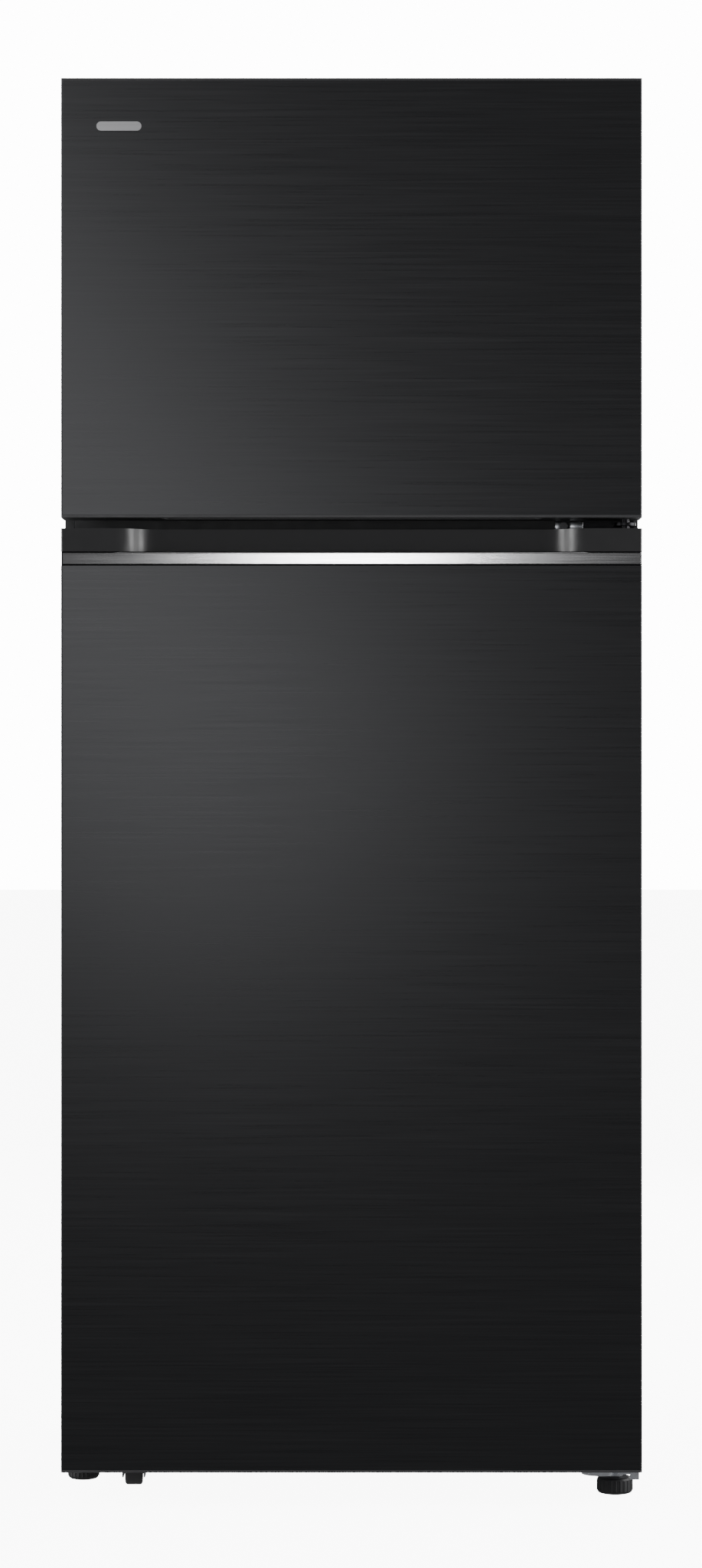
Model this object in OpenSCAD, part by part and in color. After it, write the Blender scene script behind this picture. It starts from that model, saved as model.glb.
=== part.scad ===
// Top freezer refrigerator, free standing, with two right-hinged doors.
// Millimetres, +Z up, front towards -Y, origin on the floor under the middle of the bounding box.

/* [Cabinet] */
// Width of the cabinet and of both doors
body_w = 700; // [690:2:720]
// Height from the floor to the top of the freezer door
total_h = 1720; // [1712:2:1760]
// Depth from the door face to the machine cover
total_d = 690; // [686:2:710]
// Underside of the cabinet above the floor
case_bottom = 38; // [37:1:39]
// Freezer side wall, outside face to liner
freezer_wall = 53; // [50:1:56]
// Fridge side wall, outside face to liner
fridge_wall = 45; // [42:1:48]

/* [Doors] */
// Thickness of a door without its gasket
door_t = 66; // [64:1:68]
// Height of the freezer door
freezer_door_h = 529; // [525:1:533]
// Gap between the two doors
door_gap = 13; // [12:1:14]
// Underside of the fridge door above the floor
door_floor_gap = 41; // [41:1:43]
// Depth of the grip recess behind the fridge door's face
grip_depth = 28; // [26:1:32]
// Height of the bright strip under the grip
strip_h = 17; // [14:1:20]

/* [Interior] */
// Height of the upper glass shelf
shelf_upper_z = 800; // [780:5:830]
// Height of the lower glass shelf
shelf_lower_z = 560; // [550:5:580]
// Height of the freezer shelf
freezer_shelf_z = 1428; // [1426:1:1432]
// Wall of the drawers and door bins
bin_wall = 2.5; // [2:0.5:3]

/* [Running gear] */
// Radius of the hinge pins
pin_r = 5; // [4:0.5:6]
// Radius of the rollers
roller_r = 17.5; // [16:0.5:18]
// Radius of the right levelling foot
foot_r = 22.2; // [20:0.2:22.6]

/* [Hidden] */
$fn = 48;

steel = "#2b2c2e";
case_grey = "#3a3b3d";
black = "#18181a";
zinc = "#b9bcc0";
white = "#eceeee";
clear_blue = "#cfe0e4";
rubber_grey = "#55575a";

// Main planes
hw = body_w / 2;
badge_t = 0.6;
front_y = -total_d / 2 + badge_t;
door_back_y = front_y + door_t;
gasket_t = 12;
case_front_y = door_back_y + gasket_t;
rear_bulge = 9;
case_back_y = total_d / 2 - rear_bulge;
case_top = total_h - 22;
sheet = 1;
liner_t = 2;
flange_y = case_front_y + liner_t;

// Doors
freezer_door_z0 = total_h - freezer_door_h;
fridge_door_z1 = freezer_door_z0 - door_gap;
fridge_door_z0 = door_floor_gap;
grip_face_h = 28;
strip_z1 = fridge_door_z1 - grip_face_h;
strip_z0 = strip_z1 - strip_h;
rim_h = 3;
skin_t = 0.8;
edge_r = 2.5;
foam_back_y = door_back_y - liner_t;
hinge_x = hw - 18;
hinge_y = front_y + 40;
bore_r = pin_r + 0.05;

// Cavities
freezer_hw = hw - freezer_wall;
fridge_hw = hw - fridge_wall;
mullion_z = freezer_door_z0 - door_gap / 2;
freezer_z0 = mullion_z + 37.5;
freezer_z1 = case_top - 58;
fridge_z0 = 100;
fridge_z1 = mullion_z - 38.5;
freezer_back_y = case_back_y - 61;
fridge_back_y = case_back_y - 56;
hump_y = 135;
hump_z = 300;
machine_y = 163;
machine_z = 264;
shelf_front_y = -150;
shelf_back_y = fridge_back_y - 18;

// Running gear
foot_x = 323;
foot_y = -245;
left_foot_x = -328.5;
left_foot_z = 18;
front_roller_at = [-270, -178];
rear_roller_x = 290;
rear_roller_y = 262;
roller_w = 21.5;
axle_r = 4;
stud_r = 5;

// Ice maker
tray_x = -210;
tray_z = freezer_shelf_z + 132;
ice_front_y = -70;
ice_back_y = 190;

// Evaporator and machine compartment
cover_y = 200;
evap_fan_z = 1545;
comp_x = 205;
comp_y = 250;
cond_fan_x = 10;
cond_fan_z = 155;

// ---------- shared shapes ----------

// Block between two opposite corners
module block(low, high) {
    translate(low) cube(high - low);
}

// Cylinder of radius r and length l from point p, along X or along Y
module rod_x(p, r, l) {
    translate(p) rotate([0, 90, 0]) cylinder(r = r, h = l);
}

module rod_y(p, r, l) {
    translate(p) rotate([-90, 0, 0]) cylinder(r = r, h = l);
}

module rod_z(p, r, l) {
    translate(p) cylinder(r = r, h = l);
}

// Plan outline with rounded front corners: half width w, from y0 back to y1
module front_rounded(w, y0, y1, r) {
    translate([-w, y0 + r]) square([2 * w, y1 - y0 - r]);
    translate([-w + r, y0]) square([2 * (w - r), r]);
    for (s = [-1, 1]) translate([s * (w - r), y0 + r]) circle(r);
}

// Rounded rectangle, centred, in 2D
module rounded_rect(w, h, r) {
    square([w - 2 * r, h], center = true);
    square([w, h - 2 * r], center = true);
    for (x = [-1, 1], y = [-1, 1]) translate([x * (w / 2 - r), y * (h / 2 - r)]) circle(r);
}

// Open-topped box with a floor and four walls of thickness t
module tub(low, high, t) {
    difference() {
        block(low, high);
        block(low + [t, t, t], high + [-t, -t, 1]);
    }
}

// Frame between an outer and an inner rectangle in XZ, from y0 to y1
module ring(y0, y1, hw_out, z0, z1, width) {
    difference() {
        block([-hw_out, y0, z0], [hw_out, y1, z1]);
        block([-hw_out + width, y0 - 1, z0 + width], [hw_out - width, y1 + 1, z1 - width]);
    }
}

// Hexagon-head screw with its head on plane z = 0, shank downwards
module screw(head_r, head_h, shank_r, shank_l) {
    cylinder(r = head_r / cos(30), h = head_h, $fn = 6);
    translate([0, 0, -shank_l]) cylinder(r = shank_r, h = shank_l + 0.5);
}

// ---------- cabinet ----------

module fridge_void(g) {
    difference() {
        block([-fridge_hw - g, case_front_y - 1, fridge_z0 - g],
              [fridge_hw + g, fridge_back_y + g, fridge_z1 + g]);
        block([-hw, hump_y + g, 0], [hw, case_back_y, hump_z - g]);
    }
}

module freezer_void(g) {
    block([-freezer_hw - g, case_front_y - 1, freezer_z0 - g],
          [freezer_hw + g, freezer_back_y + g, freezer_z1 + g]);
}

module stud_well(x, y) {
    rod_z([x, y, case_bottom - 1], stud_r + 3, 40);
}

// Bent sheet: two sides and a top, with a narrow return round the front
module outer_case() {
    color(case_grey) difference() {
        block([-hw, case_front_y, case_bottom], [hw, case_back_y, case_top]);
        block([-hw + sheet, case_front_y + sheet, 0], [hw - sheet, case_back_y + 1, case_top - sheet]);
        block([-hw + 12, case_front_y - 1, 0], [hw - 12, case_front_y + 2, case_top - 12]);
    }
}

module back_panel() {
    color(zinc) {
        block([-hw + sheet, case_back_y - sheet, machine_z], [hw - sheet, case_back_y, case_top - sheet]);
        for (x = [-270, -90, 90, 270])
            block([x - 12, case_back_y - 0.5, machine_z + 60], [x + 12, case_back_y + 1.8, case_top - 380]);
    }
}

module insulation_foam() {
    color("#e8d9a0") difference() {
        block([-hw + sheet, flange_y, case_bottom + 2],
              [hw - sheet, case_back_y - sheet, case_top - sheet]);
        fridge_void(liner_t);
        freezer_void(liner_t);
        block([-hw, machine_y, 0], [hw, case_back_y, machine_z]);
        stud_well(foot_x, foot_y);
        stud_well(left_foot_x, foot_y);
    }
}

module shelf_ledges(half, z, y1) {
    for (s = [-1, 1]) translate([s * (half - 4), 0, 0])
        block([-4, shelf_front_y + 16, z - 8], [4, y1, z]);
}

module freezer_liner() {
    color(white) {
        difference() {
            union() {
                intersection() {
                    freezer_void(liner_t);
                    block([-hw, case_front_y, 0], [hw, total_d, total_h]);
                }
                block([-hw + 12, case_front_y, mullion_z + 18.5], [hw - 12, flange_y, case_top - 12]);
            }
            freezer_void(0);
        }
        shelf_ledges(freezer_hw, freezer_shelf_z, 190);
    }
}

module fridge_liner() {
    color(white) {
        difference() {
            union() {
                intersection() {
                    fridge_void(liner_t);
                    block([-hw, case_front_y, 0], [hw, total_d, total_h]);
                }
                block([-hw + 12, case_front_y, 59], [hw - 12, flange_y, mullion_z - 19.5]);
            }
            fridge_void(0);
        }
        for (z = [shelf_upper_z, shelf_lower_z, 336]) shelf_ledges(fridge_hw, z, shelf_back_y - 10);
        for (s = [-1, 1]) translate([s * 235, 0, 0])
            block([-5, shelf_front_y + 10, fridge_z0], [5, hump_y - 8, fridge_z0 + 3.7]);
    }
}

module mullion_cover() {
    color(steel)
        block([-hw + 12, case_front_y, mullion_z - 18.5], [hw - 12, flange_y, mullion_z + 17.5]);
}

// Bottom plate, front flange and the step over the machine compartment
module base_frame() {
    color(zinc) difference() {
        union() {
            block([-hw + sheet, flange_y, case_bottom], [hw - sheet, machine_y + 2, case_bottom + 2]);
            block([-hw + 12, case_front_y, case_bottom], [hw - 12, flange_y, 58]);
            block([-hw + sheet, machine_y, case_bottom], [hw - sheet, machine_y + 2, machine_z]);
            block([-hw + sheet, machine_y, machine_z - 2], [hw - sheet, case_back_y - sheet, machine_z]);
            roller_fork(front_roller_at[0], front_roller_at[1]);
            rod_z([left_foot_x, foot_y, case_bottom - 3], 9, 4);
        }
        stud_well(foot_x, foot_y);
        rod_z([left_foot_x, foot_y, 0], stud_r + 0.08, 80);
    }
}

// Two cheeks and an axle under the base, for one roller
module roller_fork(x, y) {
    for (s = [-1, 1]) translate([x + s * (roller_w / 2 + 2.5), 0, 0])
        block([-1, y - 13, roller_r - 7], [1, y + 13, case_bottom + 1]);
    rod_x([x - roller_w / 2 - 3, y, roller_r], axle_r, roller_w + 6);
}

module compressor_base() {
    color(zinc) {
        difference() {
            block([-hw + sheet, machine_y + 2, case_bottom],
                  [hw - sheet, case_back_y - sheet, case_bottom + 2]);
            for (x = [-150 : 60 : 90])
                translate([x, 250, 0]) linear_extrude(80) rounded_rect(34, 90, 8);
        }
        for (s = [-1, 1]) roller_fork(s * rear_roller_x, rear_roller_y);
    }
}

module roller(x, y) {
    translate([x - roller_w / 2, y, roller_r]) rotate([0, 90, 0]) difference() {
        rotate_extrude() polygon([
            [axle_r + 0.05, 0], [roller_r - 3, 0], [roller_r - 1, 0.8], [roller_r, 3],
            [roller_r, roller_w - 3], [roller_r - 1, roller_w - 0.8], [roller_r - 3, roller_w],
            [axle_r + 0.05, roller_w]]);
        for (z = [-1, roller_w - 2]) translate([0, 0, z]) difference() {
            cylinder(r = roller_r - 5, h = 3);
            translate([0, 0, -1]) cylinder(r = axle_r + 3, h = 5);
        }
    }
}

module front_roller() {
    color(rubber_grey) roller(front_roller_at[0], front_roller_at[1]);
}

module rear_roller_left() {
    color(rubber_grey) roller(-rear_roller_x, rear_roller_y);
}

module rear_roller_right() {
    color(rubber_grey) roller(rear_roller_x, rear_roller_y);
}

// Foot with a ribbed grip of radius r and height h, a hexagon hex_h high, and a stud up to z1
module levelling_foot(r, h, hex_h, z1) {
    rotate_extrude() polygon(concat(
        [[0, 0], [r * 0.6, 0], [r * 0.82, 1]],
        [for (a = [-60 : 20 : 0]) [r - 4.7 + 4 * cos(a), 5 + 4 * sin(a)]],
        [for (a = [0 : 30 : 90]) [r - 3.7 + 3 * cos(a), h - 3 + 3 * sin(a)]],
        [[stud_r, h], [stud_r, z1], [0, z1]]));
    for (a = [0 : 15 : 345]) rotate([0, 0, a]) translate([r - 1.4, 0, 4.5])
        cylinder(r = 1.4, h = h - 8, $fn = 16);
    translate([0, 0, h]) cylinder(r = 8.5 / cos(30), h = hex_h, $fn = 6);
}

module foot_right() {
    color(black) translate([foot_x, foot_y, 0]) levelling_foot(foot_r, 21, 6, 58);
}

module foot_left() {
    color(black) translate([left_foot_x, foot_y, left_foot_z]) levelling_foot(19.4, 13, 3, 40);
}

// ---------- hinges ----------

// Hinge arm outline: a nose round the pin and a tail back to y1, in plan
module hinge_outline(nose_r, y1, x0, x1, neck_y) {
    translate([hinge_x, hinge_y]) circle(nose_r);
    translate([hinge_x - nose_r, hinge_y]) square([2 * nose_r, neck_y - hinge_y + 1]);
    translate([x0, neck_y]) square([x1 - x0, y1 - neck_y]);
}

module top_hinge() {
    color(zinc) difference() {
        union() {
            translate([0, 0, case_top]) linear_extrude(3)
                hinge_outline(13, -180, 278, 345, case_front_y + 3);
            rod_z([hinge_x, hinge_y, case_top - 22], pin_r, 23);
        }
        for (p = [[292, -200], [330, -200], [312, -240]]) rod_z([p.x, p.y, 0], 3.1, total_h);
    }
}

module hinge_cover() {
    color(black) difference() {
        translate([0, 0, case_top + 3]) linear_extrude(15)
            hinge_outline(14, -168, 272, 348, case_front_y + 3);
        translate([0, 0, case_top]) linear_extrude(15.5)
            hinge_outline(11, -171, 275, 345, case_front_y + 6);
    }
}

middle_screws = [[259, mullion_z], [339.75, mullion_z - 23]];

module middle_hinge() {
    arm_z = mullion_z - 1.5;
    color(zinc) difference() {
        union() {
            block([248, case_front_y - 3, mullion_z - 9.5], [345, case_front_y, mullion_z + 9.5]);
            block([334.5, case_front_y - 3, mullion_z - 30], [345, case_front_y, mullion_z - 9]);
            translate([0, 0, arm_z]) linear_extrude(3.5)
                hinge_outline(13, case_front_y - 2, 286, 345, case_front_y - 10);
            rod_z([hinge_x, hinge_y, arm_z - 20], pin_r, 40);
            block([266, case_front_y - 11, mullion_z - 4.5], [282, case_front_y - 2, mullion_z + 4.5]);
        }
        for (p = middle_screws) rod_y([p.x, case_front_y - 4, p.y], 3.1, 6);
    }
}

module lower_hinge() {
    color(zinc) difference() {
        union() {
            translate([0, 0, case_bottom - 3.5]) linear_extrude(3.5)
                hinge_outline(14, -196, 258, 346, case_front_y + 3);
            rod_z([302, hinge_y + 7.4, case_bottom - 5.5], 22.5, 5.5);
            rod_z([hinge_x, hinge_y, case_bottom - 1], pin_r, 23);
            block([345, hinge_y - 14.6, case_bottom - 9.5], [348, foot_y - 24, case_bottom]);
            block([337, hinge_y - 14.6, case_bottom - 9.5], [348, hinge_y - 11.6, case_bottom]);
        }
        rod_z([foot_x, foot_y, 0], stud_r + 0.08, 60);
        for (p = [[270, -252], [270, -208], [300, -208]]) rod_z([p.x, p.y, 0], 3.1, 60);
    }
}

module hinge_screws() {
    color("#8f9398") {
        for (p = [[292, -200], [330, -200], [312, -240]])
            translate([p.x, p.y, case_top + 3]) screw(5, 4, 3, 3);
        for (p = middle_screws)
            translate([p.x, case_front_y - 3, p.y]) rotate([90, 0, 0]) screw(4.6, 4, 3, 3);
        for (p = [[270, -252], [270, -208], [300, -208]])
            translate([p.x, p.y, case_bottom - 3.5]) rotate([180, 0, 0]) screw(5, 4, 3, 3.5);
        for (x = [-310, -100, 100, 310], z = [52, 252])
            translate([x, total_d / 2 - 2, z]) rotate([-90, 0, 0]) screw(3.2, 2, 2, 3);
    }
}

// ---------- back of the cabinet ----------

module machine_cover() {
    y0 = case_back_y;
    y1 = total_d / 2 - 2;
    color(black) difference() {
        block([-hw + 4, y0, case_bottom + 4], [hw - 4, y1, machine_z - 2]);
        block([-hw + 26, y0 - 1, case_bottom + 24], [hw - 26, y1 - 2, machine_z - 22]);
        for (x = [-280 : 80 : 280], z = [90 : 24 : 210])
            translate([x, y0, z]) rotate([-90, 0, 0]) linear_extrude(20) rounded_rect(64, 8, 3.9);
        for (x = [-310, -100, 100, 310], z = [52, 252]) rod_y([x, y0 - 1, z], 2.1, 20);
    }
}

module board_cover() {
    color(zinc) difference() {
        translate([-200, case_back_y, 1490]) rotate([-90, 0, 0])
            linear_extrude(6) rounded_rect(260, 180, 8);
        translate([-200, case_back_y - 1, 1490]) rotate([-90, 0, 0])
            linear_extrude(5.5) rounded_rect(250, 170, 6);
        for (z = [1440 : 15 : 1540])
            translate([-200, case_back_y, z]) rotate([-90, 0, 0])
                linear_extrude(20) rounded_rect(150, 5, 2.4);
    }
}

// ---------- machine compartment ----------

module compressor() {
    color(black) {
        translate([comp_x, comp_y, 0]) {
            rotate_extrude() polygon(concat(
                [[0, 61], [50, 61]],
                [for (a = [-90 : 15 : 0]) [52 + 18 * cos(a), 80 + 18 * sin(a)]],
                [for (a = [0 : 15 : 90]) [30 + 40 * cos(a), 165 + 40 * sin(a)]],
                [[0, 205]]));
            for (x = [-1, 1], y = [-1, 1]) translate([x * 78, y * 50, 0]) {
                rod_z([0, 0, case_bottom + 2], 11, 18);
                rod_z([0, 0, case_bottom + 19], 4, 6);
            }
            difference() {
                translate([0, 0, 58]) linear_extrude(3) rounded_rect(190, 130, 14);
                for (x = [-1, 1], y = [-1, 1]) rod_z([x * 78, y * 50, 50], 4, 20);
            }
        }
        block([comp_x - 98, comp_y + 2, 90], [comp_x - 60, comp_y + 50, 150]);
        rod_x([comp_x - 77, comp_y - 20, 120], 4, 14);
        rod_y([comp_x + 20, machine_y + 2, 140], 4, 22);
    }
}

// Flat serpentine of n tubes along X, stacked in Z from z0 with the given pitch
module serpentine(x0, x1, y, z0, pitch, n, r) {
    for (i = [0 : n - 1]) rod_x([x0, y, z0 + i * pitch], r, x1 - x0);
    for (i = [0 : n - 2])
        translate([i % 2 == 0 ? x1 : x0, y, z0 + (i + 0.5) * pitch])
            rotate([90, 0, 0]) rotate([0, 0, i % 2 == 0 ? -90 : 90])
                rotate_extrude(angle = 180) translate([pitch / 2, 0]) circle(r, $fn = 24);
}

// Round bar through a list of points, with a ball at each bend
module pipe(points, r) {
    for (i = [0 : len(points) - 2]) {
        d = points[i + 1] - points[i];
        low = [min(points[i].x, points[i + 1].x), min(points[i].y, points[i + 1].y),
            min(points[i].z, points[i + 1].z)];
        if (d.x != 0) rod_x(low, r, abs(d.x));
        if (d.y != 0) rod_y(low, r, abs(d.y));
        if (d.z != 0) rod_z(low, r, abs(d.z));
        if (i > 0) translate(points[i]) sphere(r = r);
    }
}

// Three tube banks with the inlet from the compressor, the drier and the capillary to the wall
module condenser() {
    x0 = -250;
    color("#7a4a2c") {
        for (y = [200, 230, 260]) serpentine(x0, -90, y, 82, 20, 8, 2.5);
        pipe([[x0, 200, 222], [x0, 230, 222]], 2.5);
        pipe([[x0, 230, 82], [x0, 260, 82]], 2.5);
        pipe([[x0, 200, 82], [x0, 176, 82], [60, 176, 82], [60, 176, 120],
            [60, comp_y - 20, 120], [comp_x - 77, comp_y - 20, 120]], 2.5);
        pipe([[x0, 260, 222], [-285, 260, 222], [-285, 290, 222], [-285, 290, 199]], 2.5);
        rod_z([-285, 290, 92], 9, 108);
        pipe([[-285, 290, 93], [-285, 290, 76], [-285, machine_y + 2, 76]], 1.5);
        for (p = [[x0, 200, 222], [x0, 230, 222], [x0, 230, 82], [x0, 260, 82], [x0, 200, 82],
            [x0, 260, 222]])
            translate(p) sphere(r = 2.5);
    }
}

// Motor on the freezer's back wall
module evaporator_motor() {
    color(black) {
        rod_y([0, 247, evap_fan_z], 22, freezer_back_y - 247);
        rod_y([0, 228, evap_fan_z], 3, 20);
    }
}

// Motor on a cross in an upright plate with a round window
module condenser_motor() {
    color(black) {
        difference() {
            block([cond_fan_x + 26, 185, case_bottom + 2], [cond_fan_x + 29, 325, 250]);
            rod_x([cond_fan_x + 20, comp_y, cond_fan_z], 62, 20);
        }
        for (a = [0, 90]) translate([cond_fan_x + 26, comp_y, cond_fan_z]) rotate([a, 0, 0])
            block([0, -64, -3], [3, 64, 3]);
        rod_x([cond_fan_x + 14, comp_y, cond_fan_z], 20, 15);
        rod_x([cond_fan_x - 6, comp_y, cond_fan_z], 3, 22);
    }
}

// Fan with its axis along Z, hub bored for the motor shaft
module fan(r, hub_r, h, blades) {
    difference() {
        union() {
            cylinder(r = hub_r, h = h);
            for (i = [0 : blades - 1]) rotate([0, 0, i * 360 / blades])
                translate([hub_r - 2, 0, h / 2]) rotate([32, 0, 0])
                    translate([0, -r * 0.32, -0.9]) cube([r - hub_r, r * 0.64, 1.8]);
        }
        translate([0, 0, -30]) cylinder(r = 3.05, h = 90);
    }
}

module evaporator_fan() {
    color(white) translate([0, 229, evap_fan_z]) rotate([-90, 0, 0]) fan(48, 14, 14, 5);
}

module condenser_fan() {
    color(black) translate([cond_fan_x - 5, comp_y, cond_fan_z]) rotate([0, 90, 0]) fan(56, 16, 15, 5);
}

module drain_pan() {
    color(rubber_grey) tub([-262, 184, case_bottom + 2], [-62, 322, 68], 2);
}

// ---------- freezer compartment ----------

module evaporator() {
    color(zinc) {
        for (y = [224, 252]) serpentine(-230, 230, y, 1250, 32, 6, 4);
        difference() {
            for (x = [-220 : 20 : 220]) block([x, 212, 1231], [x + 0.8, 264, 1422]);
            for (y = [224, 252], i = [0 : 5]) rod_x([-235, y, 1250 + i * 32], 4, 470);
        }
        rod_x([-215, 238, 1231], 3, 430);
    }
}

module evaporator_cover() {
    color(white) difference() {
        block([-freezer_hw + 1, cover_y, freezer_z0 + 1], [freezer_hw - 1, cover_y + 3, freezer_z1 - 1]);
        for (x = [-180 : 60 : 180])
            translate([x, cover_y - 1, 1602]) rotate([-90, 0, 0]) linear_extrude(6) rounded_rect(44, 9, 4);
        for (x = [-240 : 60 : 240])
            translate([x, cover_y - 1, 1244]) rotate([-90, 0, 0]) linear_extrude(6) rounded_rect(44, 9, 4);
        for (x = [-40 : 10 : 40])
            translate([x, cover_y - 1, evap_fan_z]) rotate([-90, 0, 0]) linear_extrude(6)
                rounded_rect(5, 2 * sqrt(46 * 46 - x * x), 2);
        block([146, cover_y - 1, 1318], [204, cover_y + 5, 1323]);
    }
}

module airflow_slider() {
    color(rubber_grey) {
        translate([155, cover_y - 7.3, 1320.5]) rotate([-90, 0, 0])
            linear_extrude(7) rounded_rect(15, 22, 3);
        block([150, cover_y - 0.5, 1318.4], [160, cover_y + 6, 1322.6]);
    }
}

module freezer_shelf() {
    color(clear_blue)
        block([-freezer_hw + 3, -165, freezer_shelf_z], [freezer_hw - 3, cover_y - 4, freezer_shelf_z + 5]);
}

module ice_maker_frame() {
    z0 = freezer_shelf_z + 5;
    color(white) difference() {
        union() {
            for (x = [-285, -138]) block([x, ice_front_y, z0], [x + 3, ice_back_y, tray_z + 40]);
            for (y = [ice_front_y, ice_back_y - 3])
                block([-285, y, tray_z - 45], [-135, y + 3, tray_z + 40]);
        }
        rod_y([tray_x, ice_front_y - 5, tray_z], 7.05, 270);
    }
}

module ice_tray() {
    cell_w = 45;
    cell_l = 41;
    color(clear_blue) {
        difference() {
            block([tray_x - 52, ice_front_y + 6, tray_z - 16], [tray_x + 52, ice_back_y - 8, tray_z + 14]);
            for (s = [-1, 1], i = [0 : 4])
                translate([tray_x + s * 25, ice_front_y + 35 + i * 47, tray_z - 13])
                    linear_extrude(40) rounded_rect(cell_w, cell_l, 8);
        }
        rod_y([tray_x, ice_front_y - 14, tray_z], 7, 20.5);
        rod_y([tray_x, ice_back_y - 8.5, tray_z], 7, 8);
        translate([tray_x, ice_front_y - 22, tray_z]) rotate([-90, 0, 0])
            linear_extrude(12) rounded_rect(64, 20, 9);
    }
}

module ice_bin() {
    z0 = freezer_shelf_z + 5.3;
    color(clear_blue) {
        tub([-280, ice_front_y + 10, z0], [-140, ice_back_y - 6, z0 + 68], bin_wall);
        block([-240, ice_front_y + 2, z0 + 58], [-180, ice_front_y + 10.5, z0 + 62]);
    }
}

// ---------- fridge compartment ----------

module air_duct() {
    color(white) difference() {
        block([-110, shelf_back_y + 4, 330], [110, fridge_back_y, fridge_z1 - 60]);
        block([-107, shelf_back_y + 7, 333], [107, fridge_back_y + 1, fridge_z1 - 63]);
        for (z = [400 : 110 : 1050], s = [-1, 1])
            translate([s * 60, shelf_back_y, z]) rotate([-90, 0, 0]) linear_extrude(12)
                rounded_rect(70, 12, 5);
    }
}

module control_housing() {
    color(white) difference() {
        block([-150, shelf_front_y, fridge_z1 - 48], [150, 90, fridge_z1]);
        block([-147, 3, fridge_z1 - 45], [147, 87, fridge_z1 + 1]);
        for (s = [-1, 1])
            block([s * 105 - 42, shelf_front_y + 8, fridge_z1 - 45], [s * 105 + 42, 1, fridge_z1 + 1]);
        block([-61, shelf_front_y + 8, fridge_z1 - 41], [61, 1, fridge_z1 + 1]);
        block([-61, -60, fridge_z1 - 50], [61, 0, fridge_z1 - 44]);
        block([-20.4, shelf_front_y - 1, fridge_z1 - 36], [20.4, shelf_front_y + 5, fridge_z1 - 22]);
        for (x = [-105, 105])
            translate([x, shelf_front_y - 1, fridge_z1 - 29]) rotate([-90, 0, 0]) linear_extrude(20)
                rounded_rect(70, 14, 6);
    }
}

module lamp_lens() {
    color("#f7f6ee") block([-60.5, -59.5, fridge_z1 - 51], [60.5, -0.5, fridge_z1 - 44]);
}

module temperature_button() {
    color(rubber_grey)
        block([-20, shelf_front_y - 1.5, fridge_z1 - 35.6], [20, shelf_front_y + 3, fridge_z1 - 22.4]);
}

// Glass pane of a shelf whose underside is at z
module pane(z) {
    color(clear_blue)
        block([-fridge_hw + 4, shelf_front_y + 8, z], [fridge_hw - 4, shelf_back_y - 8, z + 4]);
}

module glass_shelf_upper() {
    pane(shelf_upper_z);
}

module glass_shelf_lower() {
    pane(shelf_lower_z);
}

module crisper_cover() {
    pane(336);
}

// Front and back edge bars of the shelves, and the two rails that carry the chill drawer
module shelf_trims() {
    color(white) {
        for (z = [shelf_upper_z, shelf_lower_z, 336], y = [shelf_front_y, shelf_back_y - 16])
            difference() {
                block([-fridge_hw + 8.5, y, z - 5], [fridge_hw - 8.5, y + 16, z + 8]);
                block([-fridge_hw, y < 0 ? y + 8 : y - 1, z], [fridge_hw, y < 0 ? y + 17 : y + 8, z + 4]);
            }
        for (s = [-1, 1]) translate([s * 200, 0, 0]) {
            block([-3, shelf_front_y + 17, shelf_lower_z - 22], [3, 150, shelf_lower_z]);
            translate([-s * 8, 0, 0])
                block([-8, shelf_front_y + 17, shelf_lower_z - 22], [8, 150, shelf_lower_z - 19]);
        }
    }
}

module chill_drawer() {
    z1 = shelf_lower_z - 12;
    color(clear_blue) {
        tub([-180, shelf_front_y + 2, z1 - 82], [180, 150, z1], bin_wall);
        for (s = [-1, 1]) translate([s * 187, 0, 0])
            block([-8, shelf_front_y + 17, z1 - 6.7], [8, 150, z1 - 4]);
        block([-60, shelf_front_y - 4, z1 - 12], [60, shelf_front_y + 2.5, z1 - 8]);
    }
}

module crisper_drawer() {
    z0 = fridge_z0 + 4;
    color(clear_blue) {
        tub([-288, shelf_front_y + 6, z0], [288, hump_y - 7, 322], 3);
        block([-288, shelf_front_y, 276], [288, shelf_front_y + 6.5, 322]);
        block([-110, shelf_front_y - 6, 284], [110, shelf_front_y + 0.5, 290]);
    }
}

// ---------- doors ----------

// Folded steel wrap of a door: front and two sides, open at top and bottom
module door_wrap(z0, z1) {
    translate([0, 0, z0]) linear_extrude(z1 - z0) difference() {
        front_rounded(hw, front_y, foam_back_y, edge_r);
        translate([0, 0.5])
            front_rounded(hw - skin_t, front_y + skin_t - 0.5, foam_back_y + 1, edge_r - skin_t);
    }
}

// Solid that fits inside the wrap, less a little at its open back
module door_core(z0, z1) {
    translate([0, 0, z0]) linear_extrude(z1 - z0)
        front_rounded(hw - skin_t, front_y + skin_t, foam_back_y, edge_r - skin_t);
}

// Rim of an end cap, flush with the wrap's outside
module cap_rim(z0, z1, y1) {
    translate([0, 0, z0]) linear_extrude(z1 - z0) front_rounded(hw, front_y, y1, edge_r);
}

// Solid corner of the freezer door that the top hinge pin turns in
module hinge_boss() {
    block([hw - 60, front_y, case_top - 28], [hw, foam_back_y, total_h - 30]);
}

// Space that the top hinge arm sweeps in the door, open to the side, the back and the top
module hinge_pocket() {
    block([hw - 36, front_y + 8, case_top - 1], [hw + 1, door_back_y + 1, total_h + 1]);
}

// Raised ridge of a door liner: half width w, from z0 to z1, standing back to y
module dike(w, z0, z1, y, grow) {
    difference() {
        block([-w - grow, foam_back_y, z0 - grow], [w + grow, y + grow, z1 + grow]);
        block([-w + 24 + grow, foam_back_y - 2, z0 + 24 + grow], [w - 24 - grow, y + 9, z1 - 24 - grow]);
    }
}

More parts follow.
